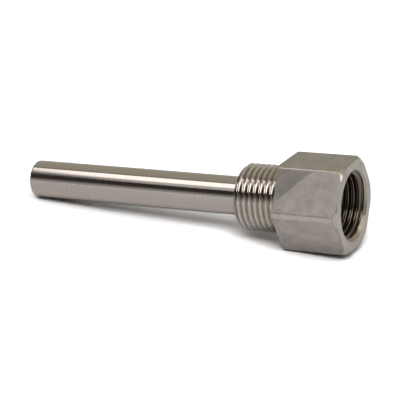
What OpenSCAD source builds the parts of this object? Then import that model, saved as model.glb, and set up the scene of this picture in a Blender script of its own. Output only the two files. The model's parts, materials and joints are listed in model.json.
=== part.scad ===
// Threaded thermowell: a pocket that screws into a pipe or tank and keeps a thermometer dry.
// It is one piece, turned from hexagon bar and bored from the open end. Both pipe threads are
// drawn plain: the outer one as a cylinder of its major diameter, the inner one as a bore of
// its minor diameter.
// The part lies at rest on the inner edge of its hexagon and on the rounded edge of its tip.
// The closed tip is towards -X, the open socket towards +X, and the origin is on the surface
// that it lies on, under the middle of its box.

/* [Stem] */
// Outer diameter of the closed stem that stands in the flow
stem_d = 12; // [10:0.5:16]
// Length of the plain stem, from its tip to the outer thread
stem_length = 75; // [40:1:250]
// Radius of the turned edge round the tip
tip_edge_r = 0.8; // [0.3:0.1:2]

/* [Process thread] */
// Major diameter of the outer thread (G 1/2)
process_thread_d = 20.955; // [17:0.005:25.5]
// Length of the outer thread, from its free end to the hexagon
process_thread_length = 15; // [10:0.5:30]
// Lead-in chamfer on the thread's free end, along and across the axis
process_chamfer = 1.2; // [0.6:0.1:2]

/* [Hexagon] */
// Width of the bar across its flats
across_flats = 27; // [26:0.5:36]
// Length of the hexagon that a spanner grips
hexagon_length = 20.5; // [16:0.5:40]
// How far the bar's six long corners are turned down
corner_turned = 0.4; // [0.1:0.05:1]
// Chamfer at the open end, measured inwards from the turned corners
end_chamfer = 1.2; // [0.5:0.1:2]

/* [Instrument socket] */
// Minor diameter of the inner thread (G 1/2)
socket_thread_d = 18.631; // [15:0.001:22.4]
// Depth of the inner thread below the open face
socket_depth = 16; // [12:0.5:20]
// Width of the 90 degree countersink round the mouth
countersink_width = 1.6; // [0.5:0.1:2]

/* [Probe bore] */
// Diameter of the long bore that the probe slides down
probe_bore_d = 7; // [3:0.5:9]
// Metal left between the drilled point of the bore and the tip
tip_thickness = 5; // [3:0.5:12]
// Point angle of the drills
drill_point_angle = 118; // [90:1:140]

/* [Hidden] */
$fn = 96;
steel = [0.63, 0.61, 0.58];
overlap = 1; // how far a cutting outline runs past the face that it opens

// Stations along the axis, counted from the tip
insertion_length = stem_length + process_thread_length;
overall_length = insertion_length + hexagon_length;
socket_floor = overall_length - socket_depth;

// Radii
stem_r = stem_d / 2;
process_thread_r = process_thread_d / 2;
corner_r = across_flats / sqrt(3) - corner_turned;
end_face_r = corner_r - end_chamfer;
socket_thread_r = socket_thread_d / 2;
countersink_r = socket_thread_r + countersink_width;
probe_bore_r = probe_bore_d / 2;

// Height of a drilled cone that narrows by this much on the radius
function drill_cone(narrowing) = narrowing / tan(drill_point_angle / 2);

// Tilt at which the round of the tip and an edge at this station and radius stand on one level
// line. The round's centre lies run along the axis and drop across it from that edge.
function tilt_over(station, radius) =
    let (run = station - tip_edge_r, drop = radius - (stem_r - tip_edge_r))
    acos(tip_edge_r / norm([run, drop])) - atan2(run, drop);

// The part rests on its tip and on the hexagon's inner edge, or on the outer thread's first full
// turn where the thread is nearly as wide as the hexagon
rest_tilt = max(
    tilt_over(insertion_length, across_flats / 2),
    tilt_over(stem_length + process_chamfer, process_thread_r)
);
rest_lift = (stem_r - tip_edge_r) * cos(rest_tilt) - tip_edge_r * sin(rest_tilt) + tip_edge_r;

// Ends of the part along X once it lies tilted
tip_x = tip_edge_r * cos(rest_tilt) - (stem_r - tip_edge_r) * sin(rest_tilt) - tip_edge_r;
face_x = overall_length * cos(rest_tilt) + min(end_face_r, across_flats / 2) * sin(rest_tilt);

// The modules below are drawn upright, with the tip at 0 and the open end at overall_length.

// Half section of the closed stem, with its rounded tip
module stem_outline() {
    square([stem_r - tip_edge_r, insertion_length]);
    translate([stem_r - tip_edge_r, tip_edge_r]) circle(tip_edge_r);
    translate([0, tip_edge_r]) square([stem_r, insertion_length - tip_edge_r]);
}

// Half section of the thread's blank, from its lead-in chamfer to the hexagon
module process_thread_outline() {
    polygon([
        [0, stem_length],
        [process_thread_r - process_chamfer, stem_length],
        [process_thread_r, stem_length + process_chamfer],
        [process_thread_r, insertion_length],
        [0, insertion_length]
    ]);
}

// Half section that the head is turned to: square shoulder, turned corners, chamfered open end
module head_outline() {
    polygon([
        [0, insertion_length],
        [corner_r, insertion_length],
        [corner_r, overall_length - end_chamfer],
        [end_face_r, overall_length],
        [0, overall_length]
    ]);
}

// Half section of everything that is cut from the open end: countersink (as deep as it is wide),
// threaded socket with its drilled floor, and the probe bore with its drilled point
module bored_outline() {
    polygon([
        [0, overall_length + overlap],
        [countersink_r + overlap, overall_length + overlap],
        [socket_thread_r, overall_length - countersink_width],
        [socket_thread_r, socket_floor],
        [probe_bore_r, socket_floor - drill_cone(socket_thread_r - probe_bore_r)],
        [probe_bore_r, tip_thickness + drill_cone(probe_bore_r)],
        [0, tip_thickness]
    ]);
}

// Hexagon bar as long as the part, standing on end with a flat towards each side of X
module hexagon_bar() {
    rotate(30) cylinder(h = overall_length, r = across_flats / sqrt(3), $fn = 6);
}

// Tips the upright part over so that it lies as it comes to rest
module lay_at_rest() {
    translate([-(tip_x + face_x) / 2, 0, rest_lift])
        rotate([0, 90 - rest_tilt, 0])
            children();
}

module thermowell() {
    color(steel)
        lay_at_rest()
            difference() {
                intersection() {
                    hexagon_bar();
                    rotate_extrude() {
                        stem_outline();
                        process_thread_outline();
                        head_outline();
                    }
                }
                rotate_extrude() bored_outline();
            }
}

thermowell();
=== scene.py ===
# %% [markdown]
# # A threaded thermowell in stainless steel
# A thermowell is a closed metal pocket. Its stem stands in the hot or flowing liquid, the outer
# thread screws into the pipe, the hexagon takes a spanner, and a thermometer screws into the
# open end. The real one is a single piece, turned and bored from hexagon bar.
# The imported CAD model is loaded first, as a fixed frame. It has the right size and place, but
# both threads on it are plain.

import json
import math

import bmesh
import bpy
import numpy as np
from mathutils import Matrix, Vector


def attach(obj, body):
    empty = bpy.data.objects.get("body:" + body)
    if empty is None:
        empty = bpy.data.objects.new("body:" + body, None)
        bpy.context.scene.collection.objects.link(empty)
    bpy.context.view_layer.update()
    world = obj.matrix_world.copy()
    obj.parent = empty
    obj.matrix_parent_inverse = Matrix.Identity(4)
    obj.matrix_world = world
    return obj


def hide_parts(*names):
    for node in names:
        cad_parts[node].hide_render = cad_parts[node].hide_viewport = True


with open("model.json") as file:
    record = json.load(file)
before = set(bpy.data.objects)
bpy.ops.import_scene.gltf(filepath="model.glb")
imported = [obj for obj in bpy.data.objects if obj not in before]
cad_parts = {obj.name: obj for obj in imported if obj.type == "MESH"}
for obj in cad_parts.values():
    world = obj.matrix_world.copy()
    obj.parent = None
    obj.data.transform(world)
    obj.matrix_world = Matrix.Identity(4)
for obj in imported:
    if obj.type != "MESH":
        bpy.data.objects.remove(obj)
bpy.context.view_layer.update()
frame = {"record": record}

# %% [markdown]
# ## The part's own axis
# The well lies on its tip and on the edge of its hexagon, so its axis climbs a little. The
# record's mounts say where that axis runs: each mount has a point on the part and a direction.
# Everything below is first measured as on a lathe, by its station along the axis from the tip,
# its radius, and its angle round the axis. One matrix then lays the finished shape down.

# %% The lathe axis, from the record
MM = 0.001
mounts = {mount["name"]: mount for mount in frame["record"]["mounts"]}
AXIS = Vector(mounts["open_end_face"]["axis"]).normalized()
FACE_CENTRE = Vector(mounts["open_end_face"]["pos_m"])
FACE_CENTRE.y = 0.0
SHOULDER_CENTRE = Vector(mounts["sealing_shoulder"]["pos_m"])
SHOULDER_CENTRE.y = 0.0

SHOULDER_STATION = 90.0
FACE_STATION = SHOULDER_STATION + (FACE_CENTRE - SHOULDER_CENTRE).length / MM
TIP_CENTRE = FACE_CENTRE - AXIS * (FACE_STATION * MM)
REST_TILT = math.atan2(AXIS.z, AXIS.x)
LATHE_TO_ROW = Matrix.Translation(TIP_CENTRE) @ Matrix.Rotation(-REST_TILT, 4, "Y")
print(f"axis climbs {math.degrees(REST_TILT):.3f} degrees, overall length {FACE_STATION:.2f} mm")

# %% [markdown]
# ## Camera
# A long lens from half a metre away keeps the stem's sides nearly parallel. The camera stands
# to the right of the part and a little above it, so that the open socket shows.

# %% Camera
CAMERA_PLACE = Vector((211.080, -426.458, 180.134)) * MM
CAMERA_TARGET = Vector((3.765, -0.499, 8.514)) * MM
CAMERA_ROLL = math.radians(0.619)
SENSOR_WIDTH = 36.0
LENS = 145.236


def facing(place, target):
    """The matrix of a camera or lamp that stands at a place and looks at a target."""
    turn = (target - place).to_track_quat("-Z", "Y").to_matrix().to_4x4()
    return Matrix.Translation(place) @ turn


camera_data = bpy.data.cameras.new("camera")
camera_data.sensor_width = SENSOR_WIDTH
camera_data.lens = LENS
camera = bpy.data.objects.new("camera", camera_data)
bpy.context.scene.collection.objects.link(camera)
camera.matrix_world = facing(CAMERA_PLACE, CAMERA_TARGET) @ Matrix.Rotation(CAMERA_ROLL, 4, "Z")
bpy.context.scene.camera = camera
print(f"camera is {(CAMERA_TARGET - CAMERA_PLACE).length / MM:.1f} mm from the part")

# %% [markdown]
# ## Colours and nodes
# Colours are written as sRGB hex values, as a paint chart gives them. Blender's shaders work on
# linear light, so one function turns them over. Another adds one node with its settings and its
# links, which keeps each material readable from top to bottom.

# %% Helpers for materials


def linear(hex_colour):
    """An sRGB hex colour as linear red, green, blue and alpha."""
    channels = [int(hex_colour[i:i + 2], 16) / 255 for i in (1, 3, 5)]
    return [c / 12.92 if c <= 0.04045 else ((c + 0.055) / 1.055) ** 2.4 for c in channels] + [1.0]


def add_node(tree, kind, inputs=None, **settings):
    """One node. inputs maps a socket to a value, or to another node's output to link from."""
    node = tree.nodes.new(kind)
    for name, value in settings.items():
        setattr(node, name, value)
    for socket, value in (inputs or {}).items():
        if isinstance(value, bpy.types.NodeSocket):
            tree.links.new(value, node.inputs[socket])
        else:
            node.inputs[socket].default_value = value
    return node


def new_material(name):
    """An empty node material and its tree."""
    material = bpy.data.materials.new(name)
    material.use_nodes = True
    material.node_tree.nodes.clear()
    return material, material.node_tree


print("mid grey #808080 is", round(linear("#808080")[0], 3), "in linear light")

# %% [markdown]
# ## The white sheet
# Bare metal has almost no colour of its own: it shows what stands round it. So the set matters
# as much as the material. The part lies on a sheet of matt white paper. Studio pictures expose
# that paper so brightly that it turns pure white, and only the shade close to the part is left.
# Light Path tells the paper which ray is looking at it. The camera sees the bright exposure, the
# polished metal a smaller one, and the light that bounces off the paper stays as it is. Close
# under the part, ambient occlusion deepens the shade, so that the part looks set down on the
# sheet and doesn't float over it. Far from the lamps, where the paper would turn grey, a glow
# that only the camera sees takes over.

# %% White sheet
SHEET_RADIUS = 4.0
SHEET_CORNERS = 96
PURE_WHITE = "#FFFFFF"
SHEET_WHITE = linear("#F2F2F2")[0]
SEEN_BY_CAMERA = 3.0
SEEN_IN_METAL = 1.2
SEEN_UNDER_PART = 1.1
CONTACT_REACH = 0.008
WELL_LIT_WITHIN, PLAIN_WHITE_FROM = 0.4, 1.0
HALF_A_BOUNCE = 0.5
CAMERA_RAYS = ("Is Camera Ray",)
MIRROR_RAYS = ("Is Glossy Ray", "Is Transmission Ray")


def link_new(name, mesh):
    """A new object with this mesh, in the scene."""
    made = bpy.data.objects.new(name, mesh)
    bpy.context.scene.collection.objects.link(made)
    return made


def flat_disc(name, radius, corners):
    """A flat round sheet at the height of the origin."""
    turns = [2 * math.pi * i / corners for i in range(corners)]
    mesh = bpy.data.meshes.new(name)
    rim = [(radius * math.cos(turn), radius * math.sin(turn), 0) for turn in turns]
    mesh.from_pydata(rim, [], [range(corners)])
    return link_new(name, mesh)


def looked_at(tree, kinds):
    """1 for a ray of these kinds that comes from the camera, and 0 for stray light."""
    path = add_node(tree, "ShaderNodeLightPath")
    hit = add_node(tree, "ShaderNodeMath", operation="LESS_THAN", inputs={
        0: path.outputs["Diffuse Depth"], 1: HALF_A_BOUNCE,
    })
    total = path.outputs[kinds[0]]
    for kind in kinds[1:]:
        both = add_node(tree, "ShaderNodeMath", {0: total, 1: path.outputs[kind]}, operation="ADD")
        total = both.outputs[0]
    return add_node(tree, "ShaderNodeMath", {0: total, 1: hit.outputs[0]}, operation="MULTIPLY").outputs[0]


def exposed_paper(tree):
    """Matt paper, with its exposures for the camera and for the metal, as a shader's output."""
    openness = add_node(tree, "ShaderNodeAmbientOcclusion", {"Distance": CONTACT_REACH}).outputs["AO"]
    camera_lift = add_node(tree, "ShaderNodeMapRange", {
        "Value": openness, "To Min": SEEN_UNDER_PART - 1, "To Max": SEEN_BY_CAMERA - 1,
    })
    exposure = 1.0
    for kinds, lift in ((MIRROR_RAYS, SEEN_IN_METAL - 1), (CAMERA_RAYS, camera_lift.outputs[0])):
        exposure = add_node(tree, "ShaderNodeMath", operation="MULTIPLY_ADD", inputs={
            0: looked_at(tree, kinds), 1: lift, 2: exposure,
        }).outputs[0]
    white = add_node(tree, "ShaderNodeMath", {0: exposure, 1: SHEET_WHITE}, operation="MULTIPLY")
    return add_node(tree, "ShaderNodeBsdfDiffuse", {"Color": white.outputs[0]}).outputs[0]


def matt_paper():
    """Exposed paper that turns plain white for the camera, far from the part."""
    material, tree = new_material("matt_white_paper")
    place = add_node(tree, "ShaderNodeTexCoord")
    distance = add_node(tree, "ShaderNodeVectorMath", {0: place.outputs["Object"]}, operation="LENGTH")
    far = add_node(tree, "ShaderNodeMapRange", interpolation_type="SMOOTHSTEP", inputs={
        "Value": distance.outputs["Value"], "From Min": WELL_LIT_WITHIN, "From Max": PLAIN_WHITE_FROM,
    })
    plain = add_node(tree, "ShaderNodeMath", operation="MULTIPLY", inputs={
        0: looked_at(tree, CAMERA_RAYS), 1: far.outputs[0],
    })
    glow = add_node(tree, "ShaderNodeEmission", {"Color": linear(PURE_WHITE)})
    surface = add_node(tree, "ShaderNodeMixShader", {
        0: plain.outputs[0], 1: exposed_paper(tree), 2: glow.outputs[0],
    })
    add_node(tree, "ShaderNodeOutputMaterial", {"Surface": surface.outputs[0]})
    return material


sheet = flat_disc("white_sheet", SHEET_RADIUS, SHEET_CORNERS)
sheet.data.materials.append(matt_paper())
print(f"white sheet, radius {SHEET_RADIUS} m, contact shade {CONTACT_REACH * 1000:.0f} mm wide")

# %% [markdown]
# ## Light in the shade
# The world is white where the camera or the metal looks at it. On everything else it sheds only
# a weak grey light, which fills the shadow a little.

# %% World
SHADE_LIGHT = "#343332"


def studio_world():
    """White to whatever looks at it, and a weak light on everything else."""
    world = bpy.data.worlds.new("studio")
    world.use_nodes = True
    tree = world.node_tree
    tree.nodes.clear()
    light = add_node(tree, "ShaderNodeMix", data_type="RGBA", inputs={
        0: looked_at(tree, CAMERA_RAYS + MIRROR_RAYS), 6: linear(SHADE_LIGHT), 7: linear(PURE_WHITE),
    })
    sky = add_node(tree, "ShaderNodeBackground", {"Color": light.outputs[2]})
    add_node(tree, "ShaderNodeOutputWorld", {"Surface": sky.outputs[0]})
    return world


bpy.context.scene.world = studio_world()
bpy.context.scene.view_settings.view_transform = "Standard"
print("light in the shade:", [round(c, 3) for c in linear(SHADE_LIGHT)[:3]])

# %% [markdown]
# ## Softboxes
# Four lamps hang a metre above the part and face straight down. The large one in front of the
# part throws the shadow back under the stem. The one on the left is the bright strip along the
# stem: its back edge ends that strip sharply, and the weaker spill before it lets the strip fade
# downwards. A weak one behind the part softens the front of the shadow, and is hidden from the
# metal. The fifth, a small one on the right, looks at the part and lights the chamfer.

# %% Softboxes
LAMP_HEIGHT = 1.0
MAIN_PLACE = Vector((0.42, -0.86, LAMP_HEIGHT))
MAIN_SIZE = (0.96, 0.90)
MAIN_BRIGHTNESS = 4.7
STRIP_PLACE = Vector((-0.63, -0.325, LAMP_HEIGHT))
STRIP_SIZE = (0.42, 0.55)
STRIP_BRIGHTNESS = 1.95
SPILL_PLACE = Vector((-0.67, -0.87, LAMP_HEIGHT))
SPILL_SIZE = (0.48, 0.54)
SPILL_BRIGHTNESS = 0.68
BACK_PLACE = Vector((0.0, 1.35, LAMP_HEIGHT))
BACK_SIZE = (2.4, 0.5)
BACK_BRIGHTNESS = 1.3
SIDE_PLACE = Vector((0.956, 0.169, 0.705))
SIDE_SIZE = (0.26, 0.34)
SIDE_BRIGHTNESS = 2.8


def softbox(name, place, target, size, brightness):
    """A square-cornered lamp that looks at a target. A brightness of 1 shows it as white."""
    lamp = bpy.data.lights.new(name, "AREA")
    lamp.shape = "RECTANGLE"
    lamp.size, lamp.size_y = size
    lamp.energy = brightness * size[0] * size[1] * math.pi
    box = bpy.data.objects.new(name, lamp)
    bpy.context.scene.collection.objects.link(box)
    box.matrix_world = facing(place, target)
    print(f"{name}: {lamp.energy:.2f} W")
    return box


BELOW = Vector((0.0, 0.0, -LAMP_HEIGHT))
softbox("main_softbox", MAIN_PLACE, MAIN_PLACE + BELOW, MAIN_SIZE, MAIN_BRIGHTNESS)
softbox("strip_softbox", STRIP_PLACE, STRIP_PLACE + BELOW, STRIP_SIZE, STRIP_BRIGHTNESS)
softbox("spill_softbox", SPILL_PLACE, SPILL_PLACE + BELOW, SPILL_SIZE, SPILL_BRIGHTNESS)
back = softbox("back_softbox", BACK_PLACE, BACK_PLACE + BELOW, BACK_SIZE, BACK_BRIGHTNESS)
back.visible_glossy = False
softbox("side_softbox", SIDE_PLACE, Vector(), SIDE_SIZE, SIDE_BRIGHTNESS)

# %% [markdown]
# ## The room in the metal
# The dark band along the stem is the unlit room behind the camera, and the olive grey on top of
# the stem is the wall behind the part. A dome with those colours stands round the set. Only
# reflections see it, so it changes neither the light on the paper nor the white background.

# %% Room
ROOM_RADIUS = 3.0
ROOM_COLUMNS = 48
ROOM_TIERS = 12
UNLIT_ROOM = "#353332"
BACK_WALL = "#AFADA0"
HORIZON = "#BCBBB9"
WALL_FROM, WALL_TO = -0.6, 0.7
HORIZON_TOP = 1.0


def room_dome():
    """A dome that stands on the sheet, as a grid of faces."""
    rises = np.linspace(0, math.pi / 2, ROOM_TIERS + 1)
    turns = np.arange(ROOM_COLUMNS) * 2 * math.pi / ROOM_COLUMNS
    points = [
        (math.cos(rise) * math.sin(turn), math.cos(rise) * math.cos(turn), math.sin(rise))
        for rise in rises for turn in turns
    ]
    faces = [
        (row + step, row + (step + 1) % ROOM_COLUMNS, row + ROOM_COLUMNS + (step + 1) % ROOM_COLUMNS,
         row + ROOM_COLUMNS + step)
        for row in range(0, ROOM_TIERS * ROOM_COLUMNS, ROOM_COLUMNS) for step in range(ROOM_COLUMNS)
    ]
    mesh = bpy.data.meshes.new("room")
    mesh.from_pydata([Vector(point) * ROOM_RADIUS for point in points], [], faces)
    return link_new("room", mesh)


def room_paint():
    """Unlit paint: dark in front, olive grey behind, and pale along the horizon."""
    material, tree = new_material("room_paint")
    place = add_node(tree, "ShaderNodeTexCoord")
    parts = add_node(tree, "ShaderNodeSeparateXYZ", {0: place.outputs["Object"]})
    depth = add_node(tree, "ShaderNodeMapRange", interpolation_type="SMOOTHSTEP", inputs={
        "Value": parts.outputs["Y"], "From Min": WALL_FROM, "From Max": WALL_TO,
    })
    height = add_node(tree, "ShaderNodeMapRange", interpolation_type="SMOOTHSTEP", inputs={
        "Value": parts.outputs["Z"], "From Max": HORIZON_TOP,
    })
    wall = add_node(tree, "ShaderNodeMix", data_type="RGBA", inputs={
        0: depth.outputs[0], 6: linear(UNLIT_ROOM), 7: linear(BACK_WALL),
    })
    paint = add_node(tree, "ShaderNodeMix", data_type="RGBA", inputs={
        0: height.outputs[0], 6: linear(HORIZON), 7: wall.outputs[2],
    })
    glow = add_node(tree, "ShaderNodeEmission", {"Color": paint.outputs[2]})
    add_node(tree, "ShaderNodeOutputMaterial", {"Surface": glow.outputs[0]})
    return material


room = room_dome()
room.data.materials.append(room_paint())
room.visible_camera = False
room.visible_diffuse = False
room.visible_shadow = False
print(f"room of {len(room.data.polygons)} faces, {ROOM_RADIUS} m in radius")

# %% [markdown]
# ## How the shape is built
# A lathe part is a set of rings. Each ring gives, for every angle round the axis, a station and
# a radius, and the skin is stretched from ring to ring. The hexagon is made in the same way: its
# radius changes with the angle. All rings share the same angles, their columns, so neighbouring
# sections meet point on point. Extra columns go where the flats meet the turned corners, one on
# each side of that edge, and the narrow face between them is the edge as a file would break it.

# %% Columns round the axis
SIDES = 6
FULL_TURN = 2 * math.pi
SIXTH = FULL_TURN / SIDES
ACROSS_FLATS = 27.0
CORNER_TURNED = 0.4
END_CHAMFER = 1.2
DECIMALS = 3
FLAT_RADIUS = ACROSS_FLATS / 2
CORNER_RADIUS = round(FLAT_RADIUS / math.cos(SIXTH / 2) - CORNER_TURNED, DECIMALS)
FACE_RADIUS = round(CORNER_RADIUS - END_CHAMFER, DECIMALS)
EDGE_WIDTH = 0.24
EVEN_COLUMNS = 144
CLOSEST_COLUMNS = math.radians(0.7)
CORNER_HALF = math.acos(FLAT_RADIUS / CORNER_RADIUS)
RIM_HALF = math.acos(FLAT_RADIUS / FACE_RADIUS)


def column_angles():
    """Even angles, with the hexagon's own put in where its surfaces meet."""
    even = np.linspace(0, FULL_TURN, EVEN_COLUMNS + 1)
    edge = EDGE_WIDTH / CORNER_RADIUS / 2
    offsets = np.array([RIM_HALF, CORNER_HALF - edge, CORNER_HALF + edge])
    middles = (np.arange(SIDES) + 0.5)[:, None] * SIXTH
    own = np.concatenate([(middles + offsets).ravel(), (middles - offsets).ravel()])
    clear = np.abs(even[:, None] - own).min(axis=1) > CLOSEST_COLUMNS
    return np.sort(np.concatenate([even[clear], own]))


ANGLES = column_angles()
FROM_FLAT = np.mod(ANGLES, SIXTH) - SIXTH / 2
HEXAGON = np.minimum(FLAT_RADIUS / np.cos(FROM_FLAT), CORNER_RADIUS)
print(f"{len(ANGLES)} columns, hexagon radius {HEXAGON.min():.3f} to {HEXAGON.max():.3f} mm")

# %% [markdown]
# ## Sections
# The skin is kept as a list of sections, from the tip round the outside to the bottom of the
# bore. Each section is a grid of rings by columns with one finish, or with a finish for every
# face. A rounded edge is just a few rings whose places follow an arc.

# %% Sections and rings
sections = []


def add_section(name, finish, rings):
    """Keeps one section: the finish of its faces, and the stations and radii of its rings."""
    stations, radii = rings
    of_each_face = np.broadcast_to(finish, (len(stations) - 1, len(ANGLES) - 1))
    sections.append((of_each_face, stations, radii))
    print(f"{name}: {len(stations)} rings, {stations.min():.2f} to {stations.max():.2f} mm along")


def plain_rings(*pairs):
    """Rings from (station, radius) pairs, where either may change with the angle."""
    stations = np.array([np.broadcast_to(station, ANGLES.shape) for station, _ in pairs])
    radii = np.array([np.broadcast_to(radius, ANGLES.shape) for _, radius in pairs])
    return stations, radii


def edge_round(station, radius, size, facings):
    """Pairs on a rounded edge. A facing of 0 looks towards the open end, and one of 90 outwards."""
    return [
        (station + size * math.cos(math.radians(way)), radius + size * math.sin(math.radians(way)))
        for way in facings
    ]


# %% [markdown]
# ## Stem
# The stem is a plain bar with its tip faced square and the edge round the tip turned to a small
# radius. A few rings follow that radius, and one long strip does for the rest.

# %% Stem
STEM_RADIUS = 6.0
STEM_LENGTH = 75.0
TIP_EDGE = 0.8
TIP_FACINGS = (180, 162, 144, 126, 108, 90)

tip_edge = edge_round(TIP_EDGE, STEM_RADIUS - TIP_EDGE, TIP_EDGE, TIP_FACINGS)
add_section("stem", "ground", plain_rings((0.0, 0.0), *tip_edge, (STEM_LENGTH, STEM_RADIUS)))

# %% [markdown]
# ## Threads
# Both threads are the same pipe thread: 14 turns to the inch, flanks at 55 degrees to each
# other, and crests and roots rounded. A ring that climbs by one pitch in a turn ends where the
# ring one pitch further on began, so a set of climbing rings makes a true helix and needs no
# boolean. The ring's place in the thread form gives its height. The same form serves the outer
# thread and the tapped socket, and the standard gives its rounding as a share of the pitch.

# %% Thread form
INCH = 25.4
TURNS_TO_THE_INCH = 14
PITCH = INCH / TURNS_TO_THE_INCH
THREAD_RADIUS = mounts["process_thread"]["dims"]["r_mm"]
ROOT_RADIUS = mounts["instrument_thread"]["dims"]["r_mm"]
THREAD_DEPTH = THREAD_RADIUS - ROOT_RADIUS
FLANK_ANGLE = math.radians(55 / 2)
ROUNDING_SHARE = 0.137329
CREST_ROUND = ROUNDING_SHARE * PITCH
ARC_STEPS = 3
FLANK_STEPS = 2


def thread_form():
    """Half a pitch, from crest to root: distances along the axis, and heights above the root."""
    arc = np.linspace(0, math.pi / 2 - FLANK_ANGLE, ARC_STEPS + 1)
    crest_u, crest_h = CREST_ROUND * np.sin(arc), THREAD_DEPTH - CREST_ROUND * (1 - np.cos(arc))
    root_u, root_h = PITCH / 2 - crest_u[::-1], THREAD_DEPTH - crest_h[::-1]
    flank_u = np.linspace(crest_u[-1], root_u[0], FLANK_STEPS + 1)[1:-1]
    flank_h = np.linspace(crest_h[-1], root_h[0], FLANK_STEPS + 1)[1:-1]
    return np.concatenate([crest_u, flank_u, root_u]), np.concatenate([crest_h, flank_h, root_h])


FORM_U, FORM_H = thread_form()


def thread_height(along):
    """Height of the thread above its root, at a distance along the axis from a crest."""
    u = np.mod(along, PITCH)
    return np.interp(np.minimum(u, PITCH - u), FORM_U, FORM_H)


def climbing_rings(first, last, crest_at, radius_of):
    """Rings that climb one pitch a turn, cut off square at two stations."""
    one_pitch = np.concatenate([FORM_U, PITCH - FORM_U[-2:0:-1]])
    lowest = math.floor((first - crest_at) / PITCH) - 2
    highest = math.ceil((last - crest_at) / PITCH)
    turns = np.arange(lowest, highest + 1)
    starts = (crest_at + PITCH * turns[:, None] + one_pitch).ravel()
    starts = starts[(starts > first - PITCH) & (starts < last)]
    starts = np.concatenate([[first - PITCH], starts, [last]])[:, None]
    climb = PITCH * ANGLES / FULL_TURN
    stations = np.clip(starts + climb, first, last)
    return stations, radius_of(stations, stations - climb - crest_at)


print(f"pitch {PITCH:.3f} mm, depth {THREAD_DEPTH:.3f} mm, {2 * len(FORM_U) - 2} rings in a pitch")

# %% [markdown]
# ## Outer thread
# It starts with a lead-in chamfer and is cut right up to the hexagon. There the tool is drawn
# back, so in the last part of a turn the groove gets shallower and ends in a plain land. The
# station of one crest, at one angle round the axis, places all the turns.

# %% Outer thread
LEAD_IN = 1.2
RUN_OUT = 0.9
CREST_STATION, CREST_ANGLE = 87.9, math.radians(176)
OUTER_CREST_AT = CREST_STATION - PITCH * CREST_ANGLE / FULL_TURN


def outer_radius(stations, along):
    """The thread, cut off by its lead-in chamfer and filled up towards its run-out."""
    lead_in = THREAD_RADIUS - LEAD_IN + stations - STEM_LENGTH
    cut = np.minimum(ROOT_RADIUS + thread_height(along), lead_in)
    drawn_back = 1 - np.clip((SHOULDER_STATION - stations) / RUN_OUT, 0, 1)
    return cut + (THREAD_RADIUS - cut) * drawn_back


add_section("thread_end", "turned", plain_rings(
    (STEM_LENGTH, STEM_RADIUS), (STEM_LENGTH, THREAD_RADIUS - LEAD_IN),
))
add_section("outer_thread", "cut_thread", climbing_rings(
    STEM_LENGTH, SHOULDER_STATION, OUTER_CREST_AT, outer_radius,
))

# %% [markdown]
# ## Hexagon
# The bar's six long corners are turned down a little. At the open end they are chamfered at 45
# degrees, and where that cone meets a flat it leaves the curved edge that every nut has. The
# cone needs no cutting here: at each angle it simply starts at the station where it is as wide
# as the hexagon. Every edge gets a small radius, because a true sharp edge would catch no light.

# %% Hexagon
EDGE_ROUND = 0.15
ROUND_OF_45 = EDGE_ROUND * (math.sqrt(2) - 1)
SHOULDER_FACINGS = (180, 150, 120, 90)
CONE_START_FACINGS = (90, 67.5, 45)
CONE_END_FACINGS = (45, 22.5, 0)
ON_FLAT = np.maximum(np.abs(FROM_FLAT[:-1]), np.abs(FROM_FLAT[1:])) < CORNER_HALF
SIDE_FINISH = np.where(ON_FLAT, "milled", "turned")
CONE_FINISH = np.array([["filed"], ["filed"], ["turned"], ["turned"], ["turned"]])


def hexagon_rings():
    """The sides from the shoulder to the cone, and the cone up to the open face."""
    inset = HEXAGON - EDGE_ROUND
    shoulder = edge_round(SHOULDER_STATION + EDGE_ROUND, inset, EDGE_ROUND, SHOULDER_FACINGS)
    cone_start = FACE_STATION + FACE_RADIUS - HEXAGON - ROUND_OF_45
    outer = (np.minimum(cone_start, FACE_STATION - EDGE_ROUND), inset)
    inner = (FACE_STATION - EDGE_ROUND, np.minimum(FACE_RADIUS - ROUND_OF_45, inset))
    to_cone = edge_round(*outer, EDGE_ROUND, CONE_START_FACINGS)
    to_face = edge_round(*inner, EDGE_ROUND, CONE_END_FACINGS)
    return plain_rings(*shoulder, *to_cone[:1]), plain_rings(*to_cone, *to_face)


side_rings, cone_rings = hexagon_rings()
add_section("shoulder", "turned", plain_rings(
    (SHOULDER_STATION, THREAD_RADIUS), (SHOULDER_STATION, HEXAGON - EDGE_ROUND),
))
add_section("sides", SIDE_FINISH, side_rings)
add_section("cone", CONE_FINISH, cone_rings)

# %% [markdown]
# ## Socket and bore
# The mouth is countersunk, the socket is tapped, and below it a long bore runs nearly to the
# tip. Countersink and thread are one set of climbing rings: whichever is wider at a point is
# what the tools have left there. So the first turn of the groove opens into the cone by itself.

# %% Socket and bore
COUNTERSINK = 1.6
SOCKET_DEPTH = 16.0
PLAIN_BELOW_THREAD = 0.4
MOUTH_RADIUS = ROOT_RADIUS + COUNTERSINK
GROOVE_BEHIND_FACE = 1.15
INNER_GROOVE_AT = FACE_STATION - GROOVE_BEHIND_FACE
SOCKET_FLOOR = FACE_STATION - SOCKET_DEPTH
BORE_RADIUS = mounts["probe_bore"]["dims"]["r_mm"]
TIP_THICKNESS = 5.0
DRILL_POINT = math.radians(118)
DRILL_SLOPE = 1 / math.tan(DRILL_POINT / 2)


def countersink_radius(stations):
    """Radius of the countersink, which is as deep as it is wide."""
    return MOUTH_RADIUS - (FACE_STATION - stations)


def socket_radius(stations, along):
    """The wider of the countersink and the thread, which fades out above the socket's floor."""
    fading = np.clip(stations - SOCKET_FLOOR - PLAIN_BELOW_THREAD, 0, THREAD_DEPTH)
    thread = ROOT_RADIUS + np.minimum(thread_height(along), fading)
    return np.maximum(thread, countersink_radius(stations))


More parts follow.
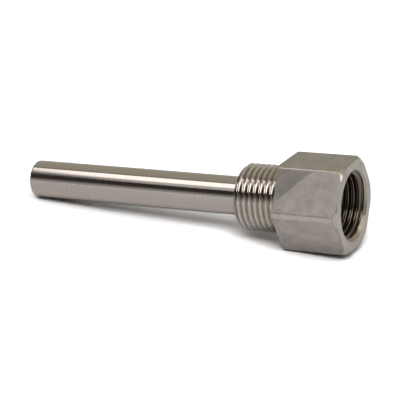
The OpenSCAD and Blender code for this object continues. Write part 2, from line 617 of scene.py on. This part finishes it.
socket_rings = climbing_rings(SOCKET_FLOOR, FACE_STATION, INNER_GROOVE_AT, socket_radius)
on_cone = np.isclose(socket_rings[1], countersink_radius(socket_rings[0]))
cone_faces = on_cone[:-1, :-1] & on_cone[1:, :-1] & on_cone[:-1, 1:] & on_cone[1:, 1:]
floor_slope = (ROOT_RADIUS - BORE_RADIUS) * DRILL_SLOPE

add_section("open_face", "turned", plain_rings(
    (FACE_STATION, cone_rings[1][-1]), (FACE_STATION, MOUTH_RADIUS),
))
add_section("socket", np.where(cone_faces, "countersunk", "tapped"), socket_rings)
add_section("bore", "tapped", plain_rings(
    (SOCKET_FLOOR, ROOT_RADIUS), (SOCKET_FLOOR - floor_slope, BORE_RADIUS),
    (TIP_THICKNESS + BORE_RADIUS * DRILL_SLOPE, BORE_RADIUS), (TIP_THICKNESS, 0.0),
))

# %% [markdown]
# ## One closed skin
# All sections are stretched into faces, and each face remembers its finish. Where two sections
# meet, their points lie on each other and are welded, so that the skin is closed and encloses the
# metal, as a solid does.

# %% Skin
FINISHES = ["ground", "cut_thread", "turned", "milled", "filed", "countersunk", "tapped"]
WELD_DISTANCE = 2e-7


def skin_mesh(name):
    """All sections as one mesh on the lathe, in metres, with the finish of each face."""
    points, faces, finishes = [], [], []
    for finish, stations, radii in sections:
        first, columns = len(points), len(ANGLES)
        grid = np.stack([stations, radii * np.cos(ANGLES), radii * np.sin(ANGLES)], axis=-1)
        points.extend((grid.reshape(-1, 3) * MM).tolist())
        rows = np.arange(len(stations) - 1)[:, None] * columns
        corner = first + (rows + np.arange(columns - 1)).ravel()
        quads = np.stack([corner, corner + 1, corner + columns + 1, corner + columns], axis=-1)
        faces.extend(quads.tolist())
        finishes.extend(FINISHES.index(name_of_finish) for name_of_finish in finish.ravel())
    mesh = bpy.data.meshes.new(name)
    mesh.from_pydata(points, [], faces)
    mesh.polygons.foreach_set("material_index", finishes)
    return mesh


def weld(mesh):
    """Joins points that coincide, drops faces that vanish, and turns all faces outwards."""
    work = bmesh.new()
    work.from_mesh(mesh)
    bmesh.ops.remove_doubles(work, verts=work.verts, dist=WELD_DISTANCE)
    bmesh.ops.dissolve_degenerate(work, edges=work.edges, dist=WELD_DISTANCE)
    bmesh.ops.recalc_face_normals(work, faces=work.faces)
    for face in work.faces:
        face.smooth = True
    open_edges = sum(not edge.is_manifold for edge in work.edges)
    print(f"{len(work.verts)} points, {len(work.faces)} faces, {open_edges} open edges")
    print(f"volume {work.calc_volume() / MM ** 3:.0f} cubic mm")
    work.to_mesh(mesh)
    work.free()


well_mesh = skin_mesh("thermowell_steel")
weld(well_mesh)

# %% [markdown]
# ## Lay it down and shade it
# One matrix lays the finished skin down at rest, in the frame of the CAD model. Edges that turn
# by more than the limit stay sharp in the shading. A weighted-normal modifier lets the wide faces
# keep their own direction up to the narrow ones at their edges, so that the flats look flat.

# %% Lay down
SHARP_ANGLE = math.radians(32)

well_mesh.transform(LATHE_TO_ROW)
well_mesh.set_sharp_from_angle(angle=SHARP_ANGLE)
well = link_new("thermowell_steel", well_mesh)
shading = well.modifiers.new("even_shading", "WEIGHTED_NORMAL")
shading.mode = "FACE_AREA"
shading.keep_sharp = True
print("thermowell_steel laid down, edges sharp over", round(math.degrees(SHARP_ANGLE)), "degrees")

# %% [markdown]
# ## Steel, and what each tool leaves on it
# All of it is the same austenitic stainless steel, so every finish is the same plain metal
# shader. What differs is the tint, the roughness and the relief of the marks that a tool leaves.
# Most marks run round the axis, so their pattern needs to know where it is on the lathe. A few
# nodes turn the object's coordinates back into stations and radii in millimetres. Station and
# radius added together give a length that grows along any turned outline, over cylinder, chamfer
# and face alike, as the tool's feed does. The marks also stretch every shine across themselves,
# which is what Anisotropic does: its tangent is the direction round the axis, turned by a quarter.

# %% Lathe coordinates for the materials
QUARTER_TURN = 0.25
NOT_BRUSHED = 0.0


def lathe_place(tree):
    """Sockets with the place on the lathe in mm, its parts, the radius and the feed."""
    place = add_node(tree, "ShaderNodeTexCoord")
    lathe = add_node(tree, "ShaderNodeMapping", vector_type="TEXTURE", inputs={
        "Vector": place.outputs["Object"], "Location": TIP_CENTRE,
        "Rotation": (0.0, -REST_TILT, 0.0), "Scale": (MM, MM, MM),
    })
    parts = add_node(tree, "ShaderNodeSeparateXYZ", {0: lathe.outputs[0]})
    arm = add_node(tree, "ShaderNodeCombineXYZ", {1: parts.outputs[1], 2: parts.outputs[2]})
    radius = add_node(tree, "ShaderNodeVectorMath", {0: arm.outputs[0]}, operation="LENGTH")
    feed = add_node(tree, "ShaderNodeMath", {0: parts.outputs[0], 1: radius.outputs[1]}, operation="ADD")
    return {
        "mm": lathe.outputs[0], "station": parts.outputs[0], "across": parts.outputs[1],
        "up": parts.outputs[2], "radius": radius.outputs[1], "feed": feed.outputs[0],
    }


def round_the_axis(tree):
    """The direction that runs round the axis at every point."""
    place = add_node(tree, "ShaderNodeTexCoord")
    arm = add_node(tree, "ShaderNodeVectorMath", operation="SUBTRACT", inputs={
        0: place.outputs["Object"], 1: TIP_CENTRE,
    })
    turn = add_node(tree, "ShaderNodeVectorMath", operation="CROSS_PRODUCT", inputs={
        0: AXIS, 1: arm.outputs[0],
    })
    return turn.outputs[0]


def shaded_below(tree, at, colour, start, end, shade):
    """Painted shade: the colour, darkened little by little between two heights, in mm from the axis."""
    shade_scale = add_node(tree, "ShaderNodeMapRange", {
        "Value": at["up"], "From Min": start, "From Max": end, "To Min": 1.0, "To Max": shade,
    })
    dark = add_node(tree, "ShaderNodeVectorMath", {0: colour, "Scale": shade_scale.outputs[0]}, operation="SCALE")
    return dark.outputs[0]


def steel_finish(tree, colour, roughness, height, depth, brushed):
    """The metal itself. depth is that of the marks in mm, brushed how far they stretch a shine."""
    relief = add_node(tree, "ShaderNodeBump", {"Height": height, "Distance": depth * MM})
    metal = add_node(tree, "ShaderNodeBsdfPrincipled", {
        "Base Color": colour, "Metallic": 1.0, "Roughness": roughness, "Normal": relief.outputs[0],
        "Anisotropic": brushed, "Anisotropic Rotation": QUARTER_TURN, "Tangent": round_the_axis(tree),
    })
    add_node(tree, "ShaderNodeOutputMaterial", {"Surface": metal.outputs[0]})


print("tangent direction runs round", [round(c, 4) for c in AXIS])

# %% [markdown]
# ## Ground bar
# The stem is bought as bright ground bar, or polished after turning. Its grinding marks are far
# finer than the picture can show, so they are drawn here about half a millimetre apart. They give
# the eye the faint upright streaks across the bright strip. Their low roughness keeps that strip
# sharp, and the strong brushed effect spreads it along the stem only. Large soft patches of a
# greener and a pinker grey stand for the handling stains that keep bare metal from looking dead,
# and painted shade darkens the underside.

# %% Ground bar
GROUND_RINGS = 0.5
GROUND_PATCH = 9.0
GROUND_GREEN, GROUND_PINK = "#C1C0B4", "#D0BFBB"
GROUND_SHADES = (0.93, 1.05)
GROUND_ROUGHNESS = (0.11, 0.17)
GROUND_DEPTH = 0.002
GROUND_BRUSHED = 0.6
STEM_PAINTED_SHADE = (-3.2, -5.2, 0.6)
FINE_DETAIL = 3.0
CALM, LIVELY = 0.3, 0.7


def ground_bar():
    """The stem: ground bright, with fine rings round it and soft patches of tint."""
    material, tree = new_material("stainless_ground_bar")
    at = lathe_place(tree)
    rings = add_node(tree, "ShaderNodeTexNoise", noise_dimensions="1D", inputs={
        "W": at["feed"], "Scale": 1 / GROUND_RINGS, "Detail": FINE_DETAIL,
    })
    patches = add_node(tree, "ShaderNodeTexNoise", {
        "Vector": at["mm"], "Scale": 1 / GROUND_PATCH, "Detail": FINE_DETAIL,
    })
    tint = add_node(tree, "ShaderNodeMix", data_type="RGBA", inputs={
        0: patches.outputs[0], 6: linear(GROUND_GREEN), 7: linear(GROUND_PINK),
    })
    streaks = add_node(tree, "ShaderNodeMapRange", {
        "Value": rings.outputs[0], "From Min": CALM, "From Max": LIVELY,
        "To Min": GROUND_SHADES[0], "To Max": GROUND_SHADES[1],
    })
    colour = add_node(tree, "ShaderNodeVectorMath", operation="SCALE", inputs={
        0: tint.outputs[2], "Scale": streaks.outputs[0],
    })
    roughness = add_node(tree, "ShaderNodeMapRange", {
        "Value": rings.outputs[0], "To Min": GROUND_ROUGHNESS[0], "To Max": GROUND_ROUGHNESS[1],
    })
    # Painted shade: the stem's underside is darkened towards the bottom.
    with_painted_shade = shaded_below(tree, at, colour.outputs[0], *STEM_PAINTED_SHADE)
    steel_finish(tree, with_painted_shade, roughness.outputs[0], rings.outputs[0], GROUND_DEPTH, GROUND_BRUSHED)
    return material


well_mesh.materials.append(ground_bar())
print("stem rings", GROUND_RINGS, "mm apart, roughness", GROUND_ROUGHNESS)

# %% [markdown]
# ## Cut thread
# The outer thread is cut with a single-point tool, and its flanks are streaked. Their colour is
# painted a touch browner than the crests: painted shade and painted reflection in the groove. To
# the eye that gives white sparks on every crest and root in the upper half, and warm grey grooves
# below.

# %% Cut thread
DRAG_LINES = 0.5
GROOVE_PAINTED_SHADE, CREST_TINT = "#BDB1A8", "#E0DBD6"
THREAD_ROUGHNESS = (0.06, 0.14)
THREAD_MARKS = 0.002
THREAD_BRUSHED = 0.2
SHADE_MARGIN = 0.25


def cut_thread():
    """The outer thread: pale on its crests, with painted shade down its flanks."""
    material, tree = new_material("stainless_cut_thread")
    at = lathe_place(tree)
    drag = add_node(tree, "ShaderNodeTexNoise", {
        "Vector": at["mm"], "Scale": 1 / DRAG_LINES, "Detail": FINE_DETAIL,
    })
    height = add_node(tree, "ShaderNodeMapRange", {
        "Value": at["radius"],
        "From Min": ROOT_RADIUS + SHADE_MARGIN, "From Max": THREAD_RADIUS - SHADE_MARGIN,
    })
    # Painted shade and painted reflection: browner from the crests down into the groove.
    colour = add_node(tree, "ShaderNodeMix", data_type="RGBA", inputs={
        0: height.outputs[0], 6: linear(GROOVE_PAINTED_SHADE), 7: linear(CREST_TINT),
    })
    roughness = add_node(tree, "ShaderNodeMapRange", {
        "Value": drag.outputs[0], "To Min": THREAD_ROUGHNESS[0], "To Max": THREAD_ROUGHNESS[1],
    })
    steel_finish(
        tree, colour.outputs[2], roughness.outputs[0], drag.outputs[0], THREAD_MARKS, THREAD_BRUSHED,
    )
    return material


well_mesh.materials.append(cut_thread())
print("thread tints", GROOVE_PAINTED_SHADE, "in the groove and", CREST_TINT, "on the crest")

# %% [markdown]
# ## Turned faces
# The open face, the cone, the shoulder and the six turned corners all come straight from the
# lathe tool. Its feed leaves fine rings, drawn here coarser than they are so that they show. They
# give the eye a satin ring on the face, which brightens and dims as one goes round it. Soft
# stains break its evenness, and painted shade darkens it low down.

# %% Turned faces
TURNED_RINGS = 0.45
TURNED_PATCH = 4.0
TURNED_DARK, TURNED_PALE = "#C2BBB3", "#D3CBC0"
TURNED_ROUGHNESS = (0.22, 0.36)
TURNED_DEPTH = 0.003
TURNED_BRUSHED = 0.4
TURNED_PAINTED_SHADE = (-9.0, -14.0, 0.8)
PATCHY_DETAIL = 5.0


def turned_faces():
    """Open face, cone, shoulder and turned corners: rings left by the tool's feed."""
    material, tree = new_material("stainless_turned_face")
    at = lathe_place(tree)
    rings = add_node(tree, "ShaderNodeTexNoise", noise_dimensions="1D", inputs={
        "W": at["feed"], "Scale": 1 / TURNED_RINGS, "Detail": FINE_DETAIL,
    })
    stains = add_node(tree, "ShaderNodeTexNoise", {
        "Vector": at["mm"], "Scale": 1 / TURNED_PATCH, "Detail": PATCHY_DETAIL,
    })
    spread = add_node(tree, "ShaderNodeMapRange", {
        "Value": stains.outputs[0], "From Min": CALM, "From Max": LIVELY,
    })
    tint = add_node(tree, "ShaderNodeMix", data_type="RGBA", inputs={
        0: spread.outputs[0], 6: linear(TURNED_DARK), 7: linear(TURNED_PALE),
    })
    # Painted shade: the turned faces are darker towards the bottom.
    colour = shaded_below(tree, at, tint.outputs[2], *TURNED_PAINTED_SHADE)
    roughness = add_node(tree, "ShaderNodeMapRange", {
        "Value": rings.outputs[0], "To Min": TURNED_ROUGHNESS[0], "To Max": TURNED_ROUGHNESS[1],
    })
    steel_finish(tree, colour, roughness.outputs[0], rings.outputs[0], TURNED_DEPTH, TURNED_BRUSHED)
    return material


well_mesh.materials.append(turned_faces())
print("turned rings", TURNED_RINGS, "mm apart, roughness", TURNED_ROUGHNESS)

# %% [markdown]
# ## Milled flats
# The flats have been cleaned up by a face mill, a wheel of teeth much wider than the flat. Each
# tooth leaves an arc, once as the wheel comes on and once as its back edge goes over the same
# place, and the two sets of arcs cross. The second cut stopped part of the way: its round edge
# runs over the flat, with a smooth darker corner left beyond it. Both come from the distance to
# the wheel's centre, given in lathe millimetres. The arcs are drawn coarser than they are, and
# are worn away here and there. Cooling oil has dried on the flats in patches, and painted shade
# darkens the lowest parts.

# %% Milled flats
MILL_LINES = 0.66
LEFT_CUTTER = (120.7, 8.3, 41.4)
RIGHT_CUTTER = (163.6, -46.0, -52.7)
CUTTER_REACH = 98.0
EDGE_OF_CUT = 0.35
EDGE_WANDER, WANDER_SIZE = 0.8, 2.5
FLAT_PATCH = 3.0
FLAT_DARK, FLAT_PALE = "#B2AAA3", "#C8C0BA"
FLAT_ROUGHNESS = (0.36, 0.56)
MILL_DEPTH = 0.024
FLAT_PAINTED_SHADE = (-6.0, -13.5, 0.62)


def cutter_arcs(tree, at, cutter):
    """The distance to a cutter's centre, and the arcs that its teeth leave round it."""
    reach = add_node(tree, "ShaderNodeVectorMath", {0: at["mm"], 1: cutter}, operation="DISTANCE")
    turns = add_node(tree, "ShaderNodeMath", operation="MULTIPLY", inputs={
        0: reach.outputs[1], 1: FULL_TURN / MILL_LINES,
    })
    arcs = add_node(tree, "ShaderNodeMath", {0: turns.outputs[0]}, operation="SINE")
    return reach.outputs[1], arcs.outputs[0]


def second_cut(tree, at, reach):
    """1 where the second cut has passed and 0 beyond its edge, which wanders a little."""
    wander = add_node(tree, "ShaderNodeTexNoise", {
        "Vector": at["mm"], "Scale": 1 / WANDER_SIZE, "Detail": FINE_DETAIL,
    })
    past = add_node(tree, "ShaderNodeMath", operation="MULTIPLY_ADD", inputs={
        0: wander.outputs[0], 1: EDGE_WANDER, 2: reach,
    })
    cut = add_node(tree, "ShaderNodeMapRange", interpolation_type="SMOOTHSTEP", inputs={
        "Value": past.outputs[0],
        "From Min": CUTTER_REACH + EDGE_OF_CUT, "From Max": CUTTER_REACH - EDGE_OF_CUT,
    })
    return cut.outputs[0]


def milled_flats():
    """The flats: a smooth first cut, and a second one with crossing arcs of the cutter."""
    material, tree = new_material("stainless_milled_flats")
    at = lathe_place(tree)
    left_arcs = cutter_arcs(tree, at, LEFT_CUTTER)[1]
    right_reach, right_arcs = cutter_arcs(tree, at, RIGHT_CUTTER)
    crossing = add_node(tree, "ShaderNodeMath", {0: left_arcs, 1: right_arcs}, operation="ADD")
    cut = second_cut(tree, at, right_reach)
    stains = add_node(tree, "ShaderNodeTexNoise", {
        "Vector": at["mm"], "Scale": 1 / FLAT_PATCH, "Detail": PATCHY_DETAIL,
    })
    spread = add_node(tree, "ShaderNodeMapRange", {
        "Value": stains.outputs[0], "From Min": CALM, "From Max": LIVELY,
    })
    worn = add_node(tree, "ShaderNodeMath", {0: spread.outputs[0], 1: cut}, operation="MULTIPLY")
    marks = add_node(tree, "ShaderNodeMath", operation="MULTIPLY", inputs={
        0: crossing.outputs[0], 1: worn.outputs[0],
    })
    tint = add_node(tree, "ShaderNodeMix", data_type="RGBA", inputs={
        0: spread.outputs[0], 6: linear(FLAT_DARK), 7: linear(FLAT_PALE),
    })
    # Painted shade: the lowest parts of the flats are darkened.
    colour = shaded_below(tree, at, tint.outputs[2], *FLAT_PAINTED_SHADE)
    roughness = add_node(tree, "ShaderNodeMapRange", {
        "Value": cut, "To Min": FLAT_ROUGHNESS[0], "To Max": FLAT_ROUGHNESS[1],
    })
    steel_finish(tree, colour, roughness.outputs[0], marks.outputs[0], MILL_DEPTH, NOT_BRUSHED)
    return material


well_mesh.materials.append(milled_flats())
print("mill lines", MILL_LINES, "mm apart and", MILL_DEPTH, "mm deep")

# %% [markdown]
# ## Filed edges
# Where a flat meets the turned cone, the burr has been taken off with a file. A thin scratched
# line is left there, tinted dark. To the eye it is the dark outline between the flat and the
# cone.

# %% Filed edges
FILE_MARKS = 0.3
FILED_DARK, FILED_PALE = "#665E56", "#A1978C"
FILED_ROUGHNESS = 0.28
FILED_DEPTH = 0.004


def filed_edges():
    """The edge between flat and cone: dark, with short scratches of the file."""
    material, tree = new_material("stainless_filed_edge")
    at = lathe_place(tree)
    scratches = add_node(tree, "ShaderNodeTexNoise", {
        "Vector": at["mm"], "Scale": 1 / FILE_MARKS, "Detail": FINE_DETAIL,
    })
    colour = add_node(tree, "ShaderNodeMix", data_type="RGBA", inputs={
        0: scratches.outputs[0], 6: linear(FILED_DARK), 7: linear(FILED_PALE),
    })
    steel_finish(tree, colour.outputs[2], FILED_ROUGHNESS, scratches.outputs[0], FILED_DEPTH, NOT_BRUSHED)
    return material


well_mesh.materials.append(filed_edges())
print("filed edges, tints", FILED_DARK, "to", FILED_PALE)

# %% [markdown]
# ## Countersink
# The cone round the mouth has been cut with a countersink that chattered, as they often do. It
# has left a fine ripple all round, which breaks the shine of the cone into a row of sparks.

# %% Countersink
CHATTER_MARKS = 132
CHATTER_DEPTH = 0.012
COUNTERSINK_PATCH = 1.25
COUNTERSINK_DARK, COUNTERSINK_PALE = "#ADA595", "#C8BFAF"
COUNTERSINK_ROUGHNESS = (0.22, 0.36)
COUNTERSINK_BRUSHED = 0.2


def countersink():
    """The countersink: a fine ripple that runs all round the cone."""
    material, tree = new_material("stainless_countersink")
    at = lathe_place(tree)
    angle = add_node(tree, "ShaderNodeMath", {0: at["up"], 1: at["across"]}, operation="ARCTAN2")
    turns = add_node(tree, "ShaderNodeMath", {0: angle.outputs[0], 1: CHATTER_MARKS}, operation="MULTIPLY")
    ripple = add_node(tree, "ShaderNodeMath", {0: turns.outputs[0]}, operation="SINE")
    stains = add_node(tree, "ShaderNodeTexNoise", {
        "Vector": at["mm"], "Scale": 1 / COUNTERSINK_PATCH, "Detail": FINE_DETAIL,
    })
    colour = add_node(tree, "ShaderNodeMix", data_type="RGBA", inputs={
        0: stains.outputs[0], 6: linear(COUNTERSINK_DARK), 7: linear(COUNTERSINK_PALE),
    })
    roughness = add_node(tree, "ShaderNodeMapRange", {
        "Value": stains.outputs[0], "To Min": COUNTERSINK_ROUGHNESS[0], "To Max": COUNTERSINK_ROUGHNESS[1],
    })
    steel_finish(
        tree, colour.outputs[2], roughness.outputs[0],
        ripple.outputs[0], CHATTER_DEPTH, COUNTERSINK_BRUSHED,
    )
    return material


well_mesh.materials.append(countersink())
print(CHATTER_MARKS, "chatter marks round the cone")

# %% [markdown]
# ## Tapped socket and bore
# The socket is cut by a tap and the bore by a long drill, and nobody polishes either. Their tint
# is dark brown, as painted shade inside the socket, darkest in the first turn. So the eye sees a
# bright cone, a dark groove in it, and only dim lines on the turns further in.

# %% Tapped socket
MOUTH_SHADE_DEPTH = 3.0
SOCKET_MOUTH_SHADE, SOCKET_INNER_SHADE = "#7B7165", "#867D71"
SOCKET_ROUGHNESS = (0.17, 0.30)
SOCKET_MARKS = 0.002


def tapped_socket():
    """Socket and bore: cut by a tap and a drill, with painted shade, darkest in the first turn."""
    material, tree = new_material("stainless_tapped_socket")
    at = lathe_place(tree)
    drag = add_node(tree, "ShaderNodeTexNoise", {
        "Vector": at["mm"], "Scale": 1 / DRAG_LINES, "Detail": FINE_DETAIL,
    })
    # Painted shade: the tint is darkest in the first turn and a little lighter further in.
    into_socket = add_node(tree, "ShaderNodeMapRange", {
        "Value": at["station"],
        "From Min": FACE_STATION - COUNTERSINK, "From Max": FACE_STATION - MOUTH_SHADE_DEPTH,
    })
    colour = add_node(tree, "ShaderNodeMix", data_type="RGBA", inputs={
        0: into_socket.outputs[0], 6: linear(SOCKET_MOUTH_SHADE), 7: linear(SOCKET_INNER_SHADE),
    })
    roughness = add_node(tree, "ShaderNodeMapRange", {
        "Value": drag.outputs[0], "To Min": SOCKET_ROUGHNESS[0], "To Max": SOCKET_ROUGHNESS[1],
    })
    steel_finish(
        tree, colour.outputs[2], roughness.outputs[0], drag.outputs[0], SOCKET_MARKS, THREAD_BRUSHED,
    )
    return material


well_mesh.materials.append(tapped_socket())
print("socket shade_lightened below", MOUTH_SHADE_DEPTH, "mm, finishes:", [kept.name for kept in well_mesh.materials])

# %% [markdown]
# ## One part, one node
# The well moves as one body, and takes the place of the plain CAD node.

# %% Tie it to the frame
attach(well, "root")
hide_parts("thermowell")
print("thermowell_steel replaces thermowell on body root")
